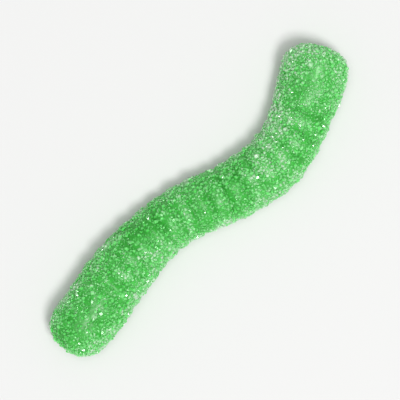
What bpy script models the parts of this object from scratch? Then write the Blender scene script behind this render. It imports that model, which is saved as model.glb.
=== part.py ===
"""A sour gummy worm: one piece of starch-moulded gel in a coat of sugar.

It lies on its flat moulded back, with the ribbed domed side up, and a few grains of sugar hold
the back just off the surface under it. Units are metres, +Z is up, and the origin is under the
middle of the worm, on that surface.
"""

import math
import random

import bpy
from mathutils import Euler, Vector, noise

# The middle line seen from above, from the head to the tail
MIDDLE_LINE = (
    (0.0168, 0.0217),
    (0.0150, 0.0142),
    (0.0115, 0.0067),
    (0.0051, 0.0015),
    (-0.0019, -0.0018),
    (-0.0070, -0.0056),
    (-0.0113, -0.0102),
    (-0.0150, -0.0153),
    (-0.0195, -0.0206),
)

# The width across the worm at these shares of its length, and the section on its flat back
WIDTHS = (
    (0.00, 0.0094),
    (0.22, 0.0089),
    (0.41, 0.0083),
    (0.57, 0.0078),
    (0.76, 0.0089),
    (1.00, 0.0089),
)
MIDDLE_HEIGHT = 0.55  # the section is widest at this share of its half width
DOME_HEIGHT = 1.12  # and its dome rises this share of the half width from there
BACK_EDGE = 0.0006  # rounding between the flat back and the sides
BACK_HEIGHT = 0.00012
TIP_HEIGHT = 0.0019

# The grains under the back that it rests on, as distances from the head's tip and to a side
REST_GRAINS = (
    (0.0085, 0.0022),
    (0.0085, -0.0022),
    (0.0490, 0.0022),
    (0.0490, -0.0022),
)

# The smooth rounded ends
HEAD_CAP = 0.0040
HEAD_SMOOTH = 0.0069
TAIL_CAP = 0.0050
TAIL_SMOOTH = 0.0078
END_SQUARENESS = 2.6  # 2 would make the ends' outline elliptic, and more is squarer
CAP_RINGS = 8
SMOOTH_RINGS = 7
HEAD_LIFT = 0.0009  # how far each end curls up off the surface
TAIL_LIFT = 0.0006
LIFT_LENGTH = 0.0130

# The moulded ribs between them
RIB_COUNT = 17
RIB_CROWDING = 0.115  # share by which they are closer at the tail than halfway, and wider at the head
RINGS_PER_RIB = 6
HEAD_RIB_DEPTH = 0.00058
TAIL_RIB_DEPTH = 0.00046
RIB_SIDE_SHARE = 0.45  # share of that depth that the ribs have at the worm's sides
RIB_FADE = 1.4  # ribs over which the relief grows to its full depth
RIB_ROUNDNESS = 0.8

# The gel's own unevenness, and the relief of the sugar that covers it
SIDES = 38
SWELL_SIZE = 0.0090
SWELL_DEPTH = 0.00035
CLUMP_SIZE = 0.0014
CLUMP_DEPTH = 0.00012
GRAIN_DEPTH = 0.00034
GRAINLESS_RADIUS = 0.0016  # rings under this size have ever less of the relief, down to none at a tip

# The coarsest crystals, which stand out of it
CRYSTAL_COUNT = 110
CRYSTAL_SIDE = (0.00042, 0.00065)
CRYSTAL_STRETCH = 1.3
CRYSTAL_SUNK = 0.30  # share of its side that a crystal's middle lies under the gel
CRYSTAL_SPACING = 0.0022
CRYSTAL_LOWEST = 0.0010
SEED = 11

SHARP_ANGLE = math.radians(30.0)
GEL_COLOUR = (0.10, 0.50, 0.11, 1.0)


def clear_scene():
    for obj in list(bpy.data.objects):
        bpy.data.objects.remove(obj, do_unlink=True)


def new_collection(name):
    collection = bpy.data.collections.new(name)
    bpy.context.scene.collection.children.link(collection)
    return collection


def smooth(share):
    """A smooth step from 0 to 1."""
    share = min(max(share, 0.0), 1.0)
    return share * share * (3.0 - 2.0 * share)


def bake_modifiers(obj):
    """Gives the object the mesh that its modifiers make."""
    graph = bpy.context.evaluated_depsgraph_get()
    mesh = bpy.data.meshes.new_from_object(obj.evaluated_get(graph))
    old = obj.data
    obj.modifiers.clear()
    obj.data = mesh
    bpy.data.meshes.remove(old)


def make_guide(collection):
    """The worm's middle line as a Bezier curve, and its length."""
    curve = bpy.data.curves.new("middle_line", "CURVE")
    curve.dimensions = "3D"
    curve.resolution_u = 32
    spline = curve.splines.new("BEZIER")
    spline.bezier_points.add(len(MIDDLE_LINE) - 1)
    for point, (x, y) in zip(spline.bezier_points, MIDDLE_LINE):
        point.co = (x, y, 0.0)
        point.handle_left_type = "AUTO"
        point.handle_right_type = "AUTO"
    guide = bpy.data.objects.new("middle_line", curve)
    guide.hide_render = True
    guide.display_type = "WIRE"
    collection.objects.link(guide)
    bpy.context.view_layer.update()
    return guide, spline.calc_length(resolution=200)


def end_share(along, length):
    """How full the worm is at this distance from the head's tip: 1 but for its rounded ends."""
    head = max(0.0, 1.0 - along / HEAD_CAP)
    tail = max(0.0, 1.0 - (length - along) / TAIL_CAP)
    return max(0.0, 1.0 - head**END_SQUARENESS - tail**END_SQUARENESS) ** (1.0 / END_SQUARENESS)


def full_half_width(along, length):
    """Half the worm's width at this distance from the head's tip, as if it had no ends or ribs."""
    place = along / length
    width = WIDTHS[0][1]
    for (start, before), (end, after) in zip(WIDTHS, WIDTHS[1:]):
        width += (after - before) * smooth((place - start) / (end - start))
    return 0.5 * width


def rib_turn(along, length):
    """How many ribs there are up to this distance from the head's tip."""
    place = (along - HEAD_SMOOTH) / (length - HEAD_SMOOTH - TAIL_SMOOTH)
    return RIB_COUNT * place * (1.0 - RIB_CROWDING * (1.0 - place))


def rib_place(turn, length):
    """The distance from the head's tip up to which there are this many ribs."""
    start = 1.0 - RIB_CROWDING
    place = (math.sqrt(start**2 + 4.0 * RIB_CROWDING * turn / RIB_COUNT) - start) / (2.0 * RIB_CROWDING)
    return HEAD_SMOOTH + place * (length - HEAD_SMOOTH - TAIL_SMOOTH)


def rib_groove(along, length):
    """How deep the ribs' grooves are here, at the top of the dome."""
    turn = rib_turn(along, length)
    fade = smooth(turn / RIB_FADE) * smooth((RIB_COUNT - turn) / RIB_FADE)
    crest = abs(math.sin(math.pi * turn)) ** RIB_ROUNDNESS
    depth = HEAD_RIB_DEPTH + (TAIL_RIB_DEPTH - HEAD_RIB_DEPTH) * along / length
    return depth * fade * (1.0 - crest)


def end_gaps(cap, smooth_length):
    """Distances from a tip of the rings on its cap and on the smooth stretch after it."""
    quarter = 0.5 * math.pi / CAP_RINGS
    rounded = [cap * (1.0 - math.cos(quarter * i)) for i in range(CAP_RINGS)]
    step = (smooth_length - cap) / SMOOTH_RINGS
    return rounded + [cap + step * i for i in range(SMOOTH_RINGS)]


def outline(length):
    """The straight worm's profile without its ribs, as (distance from the head's tip, radius)."""
    rings = end_gaps(HEAD_CAP, HEAD_SMOOTH)
    rings += [rib_place(i / RINGS_PER_RIB, length) for i in range(RIB_COUNT * RINGS_PER_RIB + 1)]
    rings += [length - gap for gap in reversed(end_gaps(TAIL_CAP, TAIL_SMOOTH))]
    return [(along, full_half_width(along, length) * end_share(along, length)) for along in rings]


def turn_profile(name, profile, collection):
    """A solid of revolution about X from the straight profile."""
    mesh = bpy.data.meshes.new(name)
    points = [(along, radius, 0.0) for along, radius in profile]
    mesh.from_pydata(points, [(i, i + 1) for i in range(len(points) - 1)], [])
    worm = bpy.data.objects.new(name, mesh)
    collection.objects.link(worm)
    screw = worm.modifiers.new("turn", "SCREW")
    screw.axis = "X"
    screw.steps = SIDES
    screw.render_steps = SIDES
    screw.use_merge_vertices = True
    screw.merge_threshold = 0.00001
    bake_modifiers(worm)
    return worm


def relief(point, radius, rng):
    """How far the surface stands out at this point of the straight worm."""
    swell = SWELL_DEPTH * noise.noise(point / SWELL_SIZE)
    clump = CLUMP_DEPTH * noise.noise(point / CLUMP_SIZE)
    grain = GRAIN_DEPTH * rng.random() ** 2
    return swell + (clump + grain) * smooth(radius / GRAINLESS_RADIUS)


def over_back(height):
    """This height cut off at the flat back, with a rounded edge."""
    above = height - BACK_HEIGHT
    if above >= BACK_EDGE:
        return height
    if above <= -BACK_EDGE:
        return BACK_HEIGHT
    return BACK_HEIGHT + (above + BACK_EDGE) ** 2 / (4.0 * BACK_EDGE)


def end_lift(along, length):
    """How far the ends curl up."""
    head = max(0.0, 1.0 - along / LIFT_LENGTH)
    tail = max(0.0, 1.0 - (length - along) / LIFT_LENGTH)
    return HEAD_LIFT * head**2 + TAIL_LIFT * tail**2


def shape_sections(worm, length, rng):
    """Turns the round sections into uneven domes on a flat back."""
    for vertex in worm.data.vertices:
        along = vertex.co.x
        out = Vector((0.0, vertex.co.y, vertex.co.z))
        way = out.normalized()
        rib_share = RIB_SIDE_SHARE + (1.0 - RIB_SIDE_SHARE) * max(0.0, way.z) ** 2
        out += way * (relief(vertex.co, out.length, rng) - rib_groove(along, length) * rib_share)
        share = end_share(along, length)
        middle = TIP_HEIGHT + (MIDDLE_HEIGHT * full_half_width(along, length) - TIP_HEIGHT) * share
        rise = out.z * (DOME_HEIGHT if out.z > 0.0 else 1.0)
        height = over_back(middle + rise) + end_lift(along, length)
        vertex.co = (along, out.y, height)


def rest_on_grains(worm):
    """Draws the straight worm's back down to the surface at the places of those grains."""
    for along, side in REST_GRAINS:
        place = Vector((along, side, 0.0))
        grain = min(worm.data.vertices, key=lambda vertex: (vertex.co - place).length)
        grain.co.z = 0.0


def bend(worm, guide):
    """Lays the straight worm along its middle line."""
    curve = worm.modifiers.new("bend", "CURVE")
    curve.object = guide
    curve.deform_axis = "POS_X"
    bake_modifiers(worm)


def crystal_sites(worm, rng):
    """Evenly spread places on the worm, as (point, normal), clear of the flat back."""
    faces = [face for face in worm.data.polygons if face.center.z > CRYSTAL_LOWEST]
    rng.shuffle(faces)
    sites = []
    for face in faces:
        if all((face.center - point).length > CRYSTAL_SPACING for point, _ in sites):
            sites.append((face.center.copy(), face.normal.copy()))
        if len(sites) == CRYSTAL_COUNT:
            break
    return sites


def add_crystal(name, point, normal, rng, collection):
    """One crystal, turned at random and partly sunk in the gel."""
    side = rng.uniform(*CRYSTAL_SIDE)
    bpy.ops.mesh.primitive_cube_add(size=side)
    crystal = bpy.context.object
    crystal.name = name
    crystal.scale.z = rng.uniform(1.0, CRYSTAL_STRETCH)
    crystal.rotation_euler = Euler([rng.uniform(0.0, math.tau) for _ in range(3)])
    crystal.location = point - normal * side * CRYSTAL_SUNK
    for holder in list(crystal.users_collection):
        holder.objects.unlink(crystal)
    collection.objects.link(crystal)


def fuse_crystals(worm, rng):
    """Joins the coarsest crystals to the worm."""
    collection = new_collection("sugar")
    for i, (point, normal) in enumerate(crystal_sites(worm, rng)):
        add_crystal(f"crystal_{i:03d}", point, normal, rng, collection)
    union = worm.modifiers.new("sugar", "BOOLEAN")
    union.operation = "UNION"
    union.solver = "EXACT"
    union.operand_type = "COLLECTION"
    union.collection = collection
    bpy.context.view_layer.update()
    bake_modifiers(worm)
    for crystal in list(collection.objects):
        bpy.data.objects.remove(crystal, do_unlink=True)
    bpy.data.collections.remove(collection)


def gel_material():
    material = bpy.data.materials.new("sugared_gel")
    material.use_nodes = True
    material.diffuse_color = GEL_COLOUR
    shader = material.node_tree.nodes["Principled BSDF"]
    shader.inputs["Base Color"].default_value = GEL_COLOUR
    shader.inputs["Roughness"].default_value = 0.6
    shader.inputs["Metallic"].default_value = 0.0
    return material


def make_worm():
    rng = random.Random(SEED)
    collection = new_collection("gummy_worm")
    guide, length = make_guide(new_collection("guides"))
    worm = turn_profile("gummy_worm", outline(length), collection)
    shape_sections(worm, length, rng)
    rest_on_grains(worm)
    bend(worm, guide)
    fuse_crystals(worm, rng)
    worm.data.materials.clear()
    worm.data.materials.append(gel_material())
    worm.data.shade_smooth()
    worm.data.set_sharp_from_angle(angle=SHARP_ANGLE)


clear_scene()
make_worm()
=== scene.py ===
"""The looks of a sour gummy worm: translucent green gel in a coat of sugar crystals.

The gel has the form of the solid that it replaces, worked out at a fine resolution a little
under the solid's skin. Three kinds of crystals cover it. Units are metres and +Z is up.
"""

import math

import bmesh
import bpy
import numpy as np
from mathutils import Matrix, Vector, noise
from mathutils.kdtree import KDTree

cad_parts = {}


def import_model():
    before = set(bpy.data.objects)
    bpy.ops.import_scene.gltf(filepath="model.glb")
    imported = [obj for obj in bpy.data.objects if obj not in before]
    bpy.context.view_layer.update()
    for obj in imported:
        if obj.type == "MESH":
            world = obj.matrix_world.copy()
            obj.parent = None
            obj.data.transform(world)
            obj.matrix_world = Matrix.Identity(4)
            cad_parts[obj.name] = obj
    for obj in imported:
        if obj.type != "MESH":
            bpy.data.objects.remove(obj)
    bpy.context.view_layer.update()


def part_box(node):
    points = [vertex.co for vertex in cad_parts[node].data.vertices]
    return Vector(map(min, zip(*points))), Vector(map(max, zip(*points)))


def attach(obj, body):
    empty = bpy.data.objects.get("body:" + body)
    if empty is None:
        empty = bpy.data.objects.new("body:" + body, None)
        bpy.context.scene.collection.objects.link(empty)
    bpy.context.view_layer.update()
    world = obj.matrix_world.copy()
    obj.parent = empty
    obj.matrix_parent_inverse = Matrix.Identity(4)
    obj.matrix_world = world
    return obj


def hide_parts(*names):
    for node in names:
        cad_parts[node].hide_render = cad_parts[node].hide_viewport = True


# The form that the gel shares with the solid, from the head to the tail
MIDDLE_LINE = (
    (0.0168, 0.0217),
    (0.0150, 0.0142),
    (0.0115, 0.0067),
    (0.0051, 0.0015),
    (-0.0019, -0.0018),
    (-0.0070, -0.0056),
    (-0.0113, -0.0102),
    (-0.0150, -0.0153),
    (-0.0195, -0.0206),
)
WIDTHS = (  # the width across the worm at these shares of its length
    (0.00, 0.0094),
    (0.22, 0.0089),
    (0.41, 0.0083),
    (0.57, 0.0078),
    (0.76, 0.0089),
    (1.00, 0.0089),
)
MIDDLE_HEIGHT = 0.55  # the section is widest at this share of its half width
DOME_HEIGHT = 1.12  # and its dome rises this share of the half width from there
BACK_EDGE = 0.0006  # rounding between the flat back and the sides
TIP_HEIGHT = 0.0019  # of the two tips, before the ends are curled up
HEAD_CAP = 0.0040  # how long each rounded end is
HEAD_SMOOTH = 0.0069  # and how far from its tip the ribs begin
TAIL_CAP = 0.0050
TAIL_SMOOTH = 0.0078
END_SQUARENESS = 2.6  # 2 would make the ends' outline elliptic, and more is squarer
HEAD_LIFT = 0.0009  # how far each end curls up off the surface
TAIL_LIFT = 0.0006
LIFT_LENGTH = 0.0130
RIB_COUNT = 17
RIB_CROWDING = 0.115  # share by which they are closer at the tail than halfway, and wider at the head
HEAD_RIB_DEPTH = 0.00058  # how deep the grooves between them are on the crown
TAIL_RIB_DEPTH = 0.00046
RIB_SIDE_SHARE = 0.45  # share of that depth that the ribs have at the worm's sides
RIB_FADE = 1.4  # ribs over which the relief grows to its full depth
RIB_ROUNDNESS = 0.8  # 1 would make each rib half a sine wave, and less is fuller
SWELL_SIZE = 0.0090  # of the broad unevenness
SWELL_DEPTH = 0.00035
CLUMP_SIZE = 0.0014  # of clumps of grains
CLUMP_DEPTH = 0.00012
GRAINLESS_RADIUS = 0.0016  # rings under this size have ever less of the clumps, down to none at a tip

# The gel's own mesh
GUIDE_STEPS = 32  # straight pieces between two points of the middle line
LENGTH_STEPS = 200  # and those that its length is measured on
GEL_INSET = 0.00008  # how far the bare gel lies under the solid's form
SUGAR_BED = 0.00024  # and how high above what the worm lies on
RING_STEP = 0.00013
CAP_RINGS = 30
SIDES = 200
DENT_SIZE = 0.00055  # of the dents that single grains make
DENT_DEPTH = 0.00005

# How thick the sugar lies, from 0 to 1, and by how much it varies, with painted shade and sheen in it
MIDDLE_COAT = 0.5
PAINTED_RIB_SHADE = 0.40  # painted shade of the ribs: the coat is this much thinner and greener in a groove than on a crest at the head, and evenly less to none at the tail
MEAN_CREST = 0.69  # the ribs' mean height between a groove, 0, and a crest, 1
PATCH_SIZE = 0.0045
PATCH_SUGAR = 0.30
PATCH_SHIFT = (0.654, 0.698, 0.265)  # moves in the noise that put pale and dark where the photo has them
SPOT_SIZE = 0.0013
SPOT_SUGAR = 0.26
BLOTCH_SIZE = 0.0100
BLOTCH_SUGAR = 0.15
BLOTCH_SHIFT = (0.123, 0.495, 0.822)
HEAD_PALENESS = 0.20  # how much paler and thicker the coat is towards the head than towards the tail
PAINTED_SIDE_SHEEN = 0.20  # painted sheen: how much more and paler sugar lies at the sides than on the crown and the back
SIDE_SHARPNESS = 6.0  # how closely that keeps to the sides

# The three kinds of crystals
SEED = 23
COARSE = dict(
    tries=5200,  # random places, of which those too close to an earlier one are dropped
    spacing=0.00078,
    cover=0.80,  # share of the places that is filled where the coat is middling
    follow=0.6,  # and how much that share grows from no coat to a full one
    side=(0.00046, 0.00066),
    sunk=0.46,  # share of a crystal's height that lies in the gel
    tilt=1.2,  # how far it may lean off the gel's normal, 0 being upright
    cuts=12,  # how many of its 12 edges are cut
)
MEDIUM = dict(
    tries=26000,
    spacing=0.00036,
    cover=0.80,
    follow=1.0,
    side=(0.00030, 0.00050),
    sunk=0.50,
    tilt=1.8,
    cuts=4,
)
FINE = dict(
    tries=60000,
    spacing=0.00023,
    cover=0.80,
    follow=1.0,
    side=(0.00015, 0.00026),
    sunk=0.40,
    tilt=2.5,
    cuts=0,
)
FLATTEST = 0.55  # least depth and breadth of a crystal, as a share of its side
MOST_TAPER = 0.5  # share by which its outer end may be narrower
MOST_LEAN = 0.25  # how far its ends may be out of line, as a share of its side
CUT_SIZES = (0.10, 0.22)  # and how wide the cuts at its edges are
SHAPES_PER_KIND = 6
SORT_DIGITS = 5  # finer differences between two points don't count when they are sorted
WHITE_SHARE = 0.35  # share of a crystal's whiteness that is its own, the rest being the coat's
PAINTED_TIP_HIGHLIGHT = 0.60  # painted highlight: how much whiter its outer end is than its inner, which is greener as if the gel showed through

# The materials
GEL_COLOURS = (  # from where little sugar lies to where much does, painted shade and sheen included
    (0.2, (0.028, 0.350, 0.030, 1.0)),
    (0.5, (0.060, 0.495, 0.064, 1.0)),
    (0.8, (0.12, 0.64, 0.12, 1.0)),
)
GEL_LOOK = {
    "Roughness": 0.34,
    "IOR": 1.45,
    "Subsurface Weight": 0.85,
    "Subsurface Radius": (0.35, 1.0, 0.35),
    "Subsurface Scale": 0.0016,
}
SUGAR_COLOURS = (  # from the least white crystal to the whitest
    (0.1, (0.052, 0.49, 0.060, 1.0)),
    (0.5, (0.115, 0.75, 0.128, 1.0)),
    (0.8, (0.24, 0.88, 0.255, 1.0)),
    (1.0, (0.58, 0.97, 0.58, 1.0)),
)
SUGAR_LOOK = {
    "Roughness": 0.14,
    "Transmission Weight": 0.2,
    "IOR": 1.54,
    "Subsurface Weight": 0.7,
    "Subsurface Radius": (0.7, 1.0, 0.7),
    "Subsurface Scale": 0.0006,
    "Sheen Weight": 0.25,
    "Sheen Roughness": 0.35,
    "Sheen Tint": (0.90, 1.0, 0.85, 1.0),
}
FLOOR_LOOK = {
    "Base Color": (0.66, 0.66, 0.655, 1.0),
    "Roughness": 0.7,
}

# The studio and the view
FLOOR_SIZE = 4.0
WHITE = (1.0, 1.0, 1.0, 1.0)
SURROUNDING_LIGHT = 0.395  # how strong the even light from all round is
KEY_LIGHT = dict(place=(0.42, -0.52, 1.70), size=0.54, power=21.4)
TOP_LIGHT = dict(place=(0.0, 0.0, 1.86), size=1.20, power=14.0)
FRAME_WIDTH = 0.0570  # how much of the floor's level the picture shows
LENS = 200.0
CLIP_START = 0.01


def smooth(share):
    """A smooth step from 0 to 1."""
    share = np.clip(share, 0.0, 1.0)
    return share * share * (3.0 - 2.0 * share)


def noise_at(points, size, shift=(0.0, 0.0, 0.0)):
    """Smooth noise from about -1 to 1, with features of this size."""
    places = ((points + shift) / size).reshape(-1, 3)
    return np.array([noise.noise(Vector(place)) for place in places]).reshape(points.shape[:-1])


def make_guide():
    """The worm's middle line as a Bezier curve, and its length."""
    curve = bpy.data.curves.new("middle_line", "CURVE")
    curve.dimensions = "3D"
    curve.resolution_u = GUIDE_STEPS
    spline = curve.splines.new("BEZIER")
    spline.bezier_points.add(len(MIDDLE_LINE) - 1)
    for point, (x, y) in zip(spline.bezier_points, MIDDLE_LINE):
        point.co = (x, y, 0.0)
        point.handle_left_type = "AUTO"
        point.handle_right_type = "AUTO"
    guide = bpy.data.objects.new("middle_line", curve)
    guide.hide_render = True
    bpy.context.scene.collection.objects.link(guide)
    bpy.context.view_layer.update()
    return guide, spline.calc_length(resolution=LENGTH_STEPS)


def end_share(along, length):
    """How full the worm is at this distance from the head's tip: 1 but for its rounded ends."""
    head = np.clip(1.0 - along / HEAD_CAP, 0.0, 1.0)
    tail = np.clip(1.0 - (length - along) / TAIL_CAP, 0.0, 1.0)
    return np.maximum(0.0, 1.0 - head**END_SQUARENESS - tail**END_SQUARENESS) ** (1.0 / END_SQUARENESS)


def full_half_width(along, length):
    """Half the worm's width at this distance from the head's tip, as if it had no ends or ribs."""
    place = along / length
    width = WIDTHS[0][1]
    for (start, before), (end, after) in zip(WIDTHS, WIDTHS[1:]):
        width = width + (after - before) * smooth((place - start) / (end - start))
    return 0.5 * width


def rib_waves(along, length):
    """How strong the ribs are here, and how high between a groove, 0, and a crest, 1."""
    place = (along - HEAD_SMOOTH) / (length - HEAD_SMOOTH - TAIL_SMOOTH)
    turn = RIB_COUNT * place * (1.0 - RIB_CROWDING * (1.0 - place))
    fade = smooth(turn / RIB_FADE) * smooth((RIB_COUNT - turn) / RIB_FADE)
    return fade, np.abs(np.sin(math.pi * turn)) ** RIB_ROUNDNESS


def rib_share(turn):
    """Share of their full depth that the ribs have at this angle round the worm."""
    return RIB_SIDE_SHARE + (1.0 - RIB_SIDE_SHARE) * np.maximum(np.sin(turn), 0.0) ** 2


def over_back(height):
    """These heights cut off at the flat back, with a rounded edge."""
    near = np.clip(height, -BACK_EDGE, BACK_EDGE)
    return np.where(height > BACK_EDGE, height, (near + BACK_EDGE) ** 2 / (4.0 * BACK_EDGE))


def end_lift(along, length):
    """How far the ends curl up."""
    head = np.clip(1.0 - along / LIFT_LENGTH, 0.0, 1.0)
    tail = np.clip(1.0 - (length - along) / LIFT_LENGTH, 0.0, 1.0)
    return HEAD_LIFT * head**2 + TAIL_LIFT * tail**2


def ring_places(length):
    """Distances of the gel's rings from the head's tip, closest together at the ends."""
    quarter = 0.5 * math.pi * np.arange(1, CAP_RINGS) / CAP_RINGS
    head = GEL_INSET + HEAD_CAP * (1.0 - np.cos(quarter))
    tail = length - GEL_INSET - TAIL_CAP * (1.0 - np.cos(quarter))
    first, last = GEL_INSET + HEAD_CAP, length - GEL_INSET - TAIL_CAP
    body = np.linspace(first, last, int((last - first) / RING_STEP))
    return np.concatenate([head, body, tail[::-1]])


def sugar_and_painted_light(along, length, turn, strength, crest, points):
    """How thick and pale the sugar lies at these points, with their ribs' strength and height, painted
    shade in the grooves and painted sheen at the sides included.
    """
    # painted shade in the rib grooves, strongest at the head
    painted_groove_shade = PAINTED_RIB_SHADE * (1.0 - along / length)
    # paler towards the head, and painted sheen at the sides
    slow = HEAD_PALENESS * (0.5 - along / length) + PAINTED_SIDE_SHEEN * np.abs(np.cos(turn)) ** SIDE_SHARPNESS
    uneven = (
        BLOTCH_SUGAR * noise_at(points, BLOTCH_SIZE, BLOTCH_SHIFT)
        + PATCH_SUGAR * noise_at(points, PATCH_SIZE, PATCH_SHIFT)
        + SPOT_SUGAR * noise_at(points, SPOT_SIZE)
    )
    return MIDDLE_COAT + painted_groove_shade * strength * (crest - MEAN_CREST) + slow + uneven


def gel_points(length):
    """The straight gel's points, ring by ring and then its two tips, and the sugar's thickness there, with
    painted shade in the rib grooves and painted sheen at the sides.
    """
    along = ring_places(length)[:, None]
    turn = np.linspace(0.0, math.tau, SIDES, endpoint=False)[None, :]
    share = end_share(along - GEL_INSET, length - 2.0 * GEL_INSET)
    half = full_half_width(along, length)
    fade, crest = rib_waves(along, length)
    strength = fade * rib_share(turn)
    radius = (half - GEL_INSET) * share + 0.0 * turn
    along = along + 0.0 * turn
    rounded = np.stack([along, radius * np.cos(turn), radius * np.sin(turn)], axis=-1)
    grain = CLUMP_DEPTH * noise_at(rounded, CLUMP_SIZE) + DENT_DEPTH * noise_at(rounded, DENT_SIZE)
    relief = SWELL_DEPTH * noise_at(rounded, SWELL_SIZE) + grain * smooth(radius / GRAINLESS_RADIUS)
    depth = HEAD_RIB_DEPTH + (TAIL_RIB_DEPTH - HEAD_RIB_DEPTH) * along / length
    out = radius - depth * strength * (1.0 - crest) + relief
    rise = out * np.sin(turn)
    rise = np.where(rise > 0.0, DOME_HEIGHT, 1.0) * rise
    middle = TIP_HEIGHT + (MIDDLE_HEIGHT * half - TIP_HEIGHT) * share
    height = SUGAR_BED + over_back(middle + rise - SUGAR_BED) + end_lift(along, length)
    rings = np.stack([along, out * np.cos(turn), height], axis=-1).reshape(-1, 3)
    tips = [
        (GEL_INSET, 0.0, TIP_HEIGHT + HEAD_LIFT),
        (length - GEL_INSET, 0.0, TIP_HEIGHT + TAIL_LIFT),
    ]
    coat_and_painted_light = sugar_and_painted_light(along, length, turn, strength, crest, rounded)
    coat_and_painted_light = np.append(coat_and_painted_light, [MIDDLE_COAT, MIDDLE_COAT])
    return np.concatenate([rings, tips]), np.clip(coat_and_painted_light, 0.0, 1.0)


def gel_faces(point_count):
    """Quads between the rings, and a fan of triangles at each tip."""
    rings = (point_count - 2) // SIDES
    faces = []
    for ring in range(rings - 1):
        for side in range(SIDES):
            a = ring * SIDES + side
            b = ring * SIDES + (side + 1) % SIDES
            faces.append((a, b, b + SIDES, a + SIDES))
    last = (rings - 1) * SIDES
    for side in range(SIDES):
        following = (side + 1) % SIDES
        faces.append((following, side, point_count - 2))
        faces.append((last + side, last + following, point_count - 1))
    return faces


def link_mesh(name, points, faces):
    """A new object with this mesh, in the scene."""
    mesh = bpy.data.meshes.new(name)
    mesh.from_pydata(points.tolist(), [], faces)
    obj = bpy.data.objects.new(name, mesh)
    bpy.context.scene.collection.objects.link(obj)
    return obj


def give_values(obj, name, values):
    """Stores one number for each of the mesh's points, for its material."""
    attribute = obj.data.attributes.new(name, "FLOAT", "POINT")
    attribute.data.foreach_set("value", values.astype(np.float32))


def bend(obj, guide):
    """Lays the straight object along its middle line, in its mesh."""
    curve = obj.modifiers.new("bend", "CURVE")
    curve.object = guide
    curve.deform_axis = "POS_X"
    graph = bpy.context.evaluated_depsgraph_get()
    mesh = bpy.data.meshes.new_from_object(obj.evaluated_get(graph))
    obj.modifiers.clear()
    obj.data = mesh


def make_gel():
    """The bare worm, and how thick the sugar lies on its points, with painted shade in the rib grooves and
    painted sheen at the sides.
    """
    guide, length = make_guide()
    points, coat_and_painted_light = gel_points(length)
    gel = link_mesh("gel_body", points, gel_faces(len(points)))
    bend(gel, guide)
    bpy.data.objects.remove(guide, do_unlink=True)
    gel.data.shade_smooth()
    give_values(gel, "coat_and_painted_light", coat_and_painted_light)
    return gel, coat_and_painted_light


def unit(vectors):
    """These vectors at length 1."""
    return vectors / np.linalg.norm(vectors, axis=-1, keepdims=True)


def surface_sites(obj, coat_and_painted_light, count, rng):
    """Random places on the object, evenly by area, as arrays of points, normals and the coat there."""
    mesh = obj.data
    mesh.calc_loop_triangles()
    corners = np.empty(3 * len(mesh.loop_triangles), np.int32)
    mesh.loop_triangles.foreach_get("vertices", corners)
    corners = corners.reshape(-1, 3)
    areas = np.empty(len(corners), np.float32)
    mesh.loop_triangles.foreach_get("area", areas)
    points = np.empty(3 * len(mesh.vertices), np.float32)
    mesh.vertices.foreach_get("co", points)
    normals = np.empty(3 * len(mesh.vertices), np.float32)
    mesh.vertex_normals.foreach_get("vector", normals)
    chosen = corners[rng.choice(len(corners), count, p=areas / areas.sum(dtype=np.float64))]
    shares = rng.dirichlet((1.0, 1.0, 1.0), count)[:, :, None]
    points = (points.reshape(-1, 3)[chosen] * shares).sum(axis=1)
    normals = (normals.reshape(-1, 3)[chosen] * shares).sum(axis=1)
    return points, unit(normals), (coat_and_painted_light[chosen] * shares[..., 0]).sum(axis=1)


def spread(points, spacing):
    """Indices of the points that are left when none may lie this close to an earlier one."""
    tree = KDTree(len(points))
    for i, point in enumerate(points):
        tree.insert(point, i)
    tree.balance()
    free = np.ones(len(points), bool)
    kept = []
    for i, point in enumerate(points):
        if free[i]:
            kept.append(i)
            for _, near, _ in tree.find_range(point, spacing):
                free[near] = False
    return np.array(kept)


def in_fixed_order(points, faces):
    """The same shape with its points and triangles sorted, because a bevel's order varies between runs."""
    order = np.lexsort(np.round(points, SORT_DIGITS).T)
    faces = np.argsort(order)[faces]
    first = faces.argmin(axis=1)[:, None]
    faces = np.take_along_axis(faces, (first + np.arange(3)) % 3, axis=1)
    return points[order], faces[np.lexsort(faces.T[::-1])]


def crystal_shape(cuts, rng):
    """A block one unit wide that narrows to one end and has some edges cut, as points and faces."""
    shape = bmesh.new()
    bmesh.ops.create_cube(shape, size=1.0)
    taper = rng.uniform(0.0, MOST_TAPER)
    lean = rng.uniform(-MOST_LEAN, MOST_LEAN, 2)
    for vertex in shape.verts:
        narrow = 1.0 - taper * (vertex.co.z + 0.5)
        vertex.co.x = vertex.co.x * narrow + lean[0] * vertex.co.z
        vertex.co.y = vertex.co.y * narrow + lean[1] * vertex.co.z
    shape.edges.ensure_lookup_table()
    if cuts:
        chosen = [shape.edges[int(i)] for i in rng.permutation(len(shape.edges))[:cuts]]
        bmesh.ops.bevel(shape, geom=chosen, offset=rng.uniform(*CUT_SIZES), segments=1, affect="EDGES")
    bmesh.ops.triangulate(shape, faces=shape.faces[:])
    points = np.array([vertex.co for vertex in shape.verts])
    faces = np.array([[vertex.index for vertex in face.verts] for face in shape.faces])
    shape.free()
    return in_fixed_order(points, faces)


def crystal_axes(normals, tilt, rng):
    """Three axes for each crystal, the third near the gel's normal."""
    up = unit(normals + tilt * unit(rng.normal(size=normals.shape)) * rng.random((len(normals), 1)))
    across = unit(np.cross(up, rng.normal(size=normals.shape)))
    return across, np.cross(up, across), up


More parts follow.
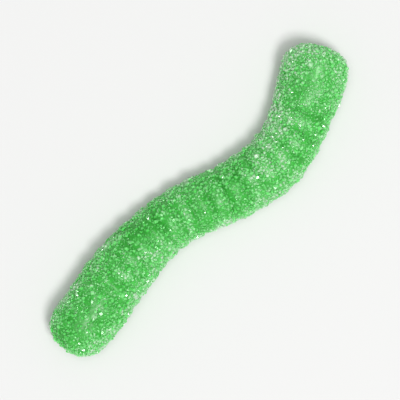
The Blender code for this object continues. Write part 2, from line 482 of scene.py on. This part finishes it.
def set_crystals(shape, sites, normals, kind, rng):
    """Copies of a shape on these places, as each copy's points, centre and side."""
    side = rng.uniform(*kind["side"], len(sites))[:, None]
    flatness = rng.uniform(FLATTEST, 1.0, (len(sites), 2))
    sizes = side * np.concatenate([np.ones_like(side), flatness], axis=1)
    across, beside, up = crystal_axes(normals, kind["tilt"], rng)
    centre = sites + normals * sizes[:, 2:] * (0.5 - kind["sunk"])
    local = shape[None] * sizes[:, None, :]
    crystals = (
        centre[:, None]
        + local[..., :1] * across[:, None]
        + local[..., 1:2] * beside[:, None]
        + local[..., 2:] * up[:, None]
    )
    return crystals, centre, side


def inside_box(crystals, low, high):
    """The crystals, with those that stick out of the solid's box moved into it."""
    under = np.maximum(low - crystals.min(axis=1), 0.0)
    over = np.maximum(crystals.max(axis=1) - high, 0.0)
    return crystals + (under - over)[:, None, :]


def make_sugar(name, kind, gel, coat_and_painted_light, box, rng):
    """All crystals of one kind, as one mesh with their whiteness in it."""
    points, normals, coats_and_painted_light = surface_sites(gel, coat_and_painted_light, kind["tries"], rng)
    kept = spread(points, kind["spacing"])
    kept = kept[rng.random(len(kept)) < kind["cover"] + kind["follow"] * (coats_and_painted_light[kept] - MIDDLE_COAT)]
    points, normals, coats_and_painted_light = points[kept], normals[kept], coats_and_painted_light[kept]
    whites = WHITE_SHARE * rng.random(len(points)) + (1.0 - WHITE_SHARE) * coats_and_painted_light
    which = rng.integers(SHAPES_PER_KIND, size=len(points))
    all_points, all_faces, all_whites = [], [], []
    first = 0
    for i in range(SHAPES_PER_KIND):
        shape, faces = crystal_shape(kind["cuts"], rng)
        sites, out = points[which == i], normals[which == i]
        crystals, centre, side = set_crystals(shape, sites, out, kind, rng)
        crystals = inside_box(crystals, *box)
        height = ((crystals - centre[:, None]) * out[:, None]).sum(axis=-1) / side
        starts = first + len(shape) * np.arange(len(sites))
        all_points.append(crystals.reshape(-1, 3))
        all_faces.append((faces[None] + starts[:, None, None]).reshape(-1, 3))
        # painted highlight on each crystal's outer end
        all_whites.append((whites[which == i][:, None] + PAINTED_TIP_HIGHLIGHT * height).reshape(-1))
        first += len(sites) * len(shape)
    obj = link_mesh(name, np.concatenate(all_points), np.concatenate(all_faces).tolist())
    give_values(obj, "white", np.concatenate(all_whites))
    return obj


def new_material(name, look):
    """A new material with these values on its shader, with its node tree and that shader."""
    material = bpy.data.materials.new(name)
    material.use_nodes = True
    tree = material.node_tree
    shader = tree.nodes["Principled BSDF"]
    for socket, value in look.items():
        shader.inputs[socket].default_value = value
    return material, tree, shader


def coloured_material(name, attribute, colours, look):
    """A material whose colour follows a number in the mesh, by colours as (number, colour)."""
    material, tree, shader = new_material(name, look)
    number = tree.nodes.new("ShaderNodeAttribute")
    number.attribute_name = attribute
    ramp = tree.nodes.new("ShaderNodeValToRGB")
    stops = ramp.color_ramp.elements
    stops[0].position, stops[0].color = colours[0]
    stops[1].position, stops[1].color = colours[-1]
    for place, colour in colours[1:-1]:
        stops.new(place).color = colour
    tree.links.new(number.outputs["Fac"], ramp.inputs["Fac"])
    tree.links.new(ramp.outputs["Color"], shader.inputs["Base Color"])
    return material


def gel_material():
    return coloured_material("green_gel", "coat_and_painted_light", GEL_COLOURS, GEL_LOOK)


def sugar_material():
    return coloured_material("sour_sugar", "white", SUGAR_COLOURS, SUGAR_LOOK)


def floor_material():
    material, _, _ = new_material("pale_floor", FLOOR_LOOK)
    return material


def make_floor():
    bpy.ops.mesh.primitive_plane_add(size=FLOOR_SIZE)
    floor = bpy.context.object
    floor.name = "floor"
    floor.data.materials.append(floor_material())


def make_light(name, place, size, power):
    """A round soft light that points at the origin."""
    light = bpy.data.lights.new(name, "AREA")
    light.shape = "DISK"
    light.size = size
    light.energy = power
    obj = bpy.data.objects.new(name, light)
    obj.location = place
    obj.rotation_euler = (-Vector(place)).to_track_quat("-Z", "Y").to_euler()
    bpy.context.scene.collection.objects.link(obj)


def make_light_and_view():
    """The studio's lights, and a camera that looks straight down."""
    scene = bpy.context.scene
    world = bpy.data.worlds.new("studio")
    world.use_nodes = True
    background = world.node_tree.nodes["Background"]
    background.inputs["Color"].default_value = WHITE
    background.inputs["Strength"].default_value = SURROUNDING_LIGHT
    scene.world = world
    make_light("key", **KEY_LIGHT)
    make_light("top", **TOP_LIGHT)
    camera = bpy.data.cameras.new("camera")
    camera.lens = LENS
    camera.clip_start = CLIP_START
    obj = bpy.data.objects.new("camera", camera)
    obj.location = (0.0, 0.0, FRAME_WIDTH * LENS / camera.sensor_width)
    scene.collection.objects.link(obj)
    scene.camera = obj
    scene.view_settings.view_transform = "Standard"


def main():
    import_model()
    box = [np.array(corner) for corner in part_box("gummy_worm")]
    rng = np.random.default_rng(SEED)
    gel, coat_and_painted_light = make_gel()
    gel.data.materials.append(gel_material())
    pieces = [gel]
    sugar = sugar_material()
    for name, kind in (("sugar_coarse", COARSE), ("sugar_medium", MEDIUM), ("sugar_fine", FINE)):
        piece = make_sugar(name, kind, gel, coat_and_painted_light, box, rng)
        piece.data.materials.append(sugar)
        pieces.append(piece)
    for piece in pieces:
        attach(piece, "root")
        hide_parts("gummy_worm")
        print(piece.name, len(piece.data.polygons), "faces")
    make_floor()
    make_light_and_view()


main()
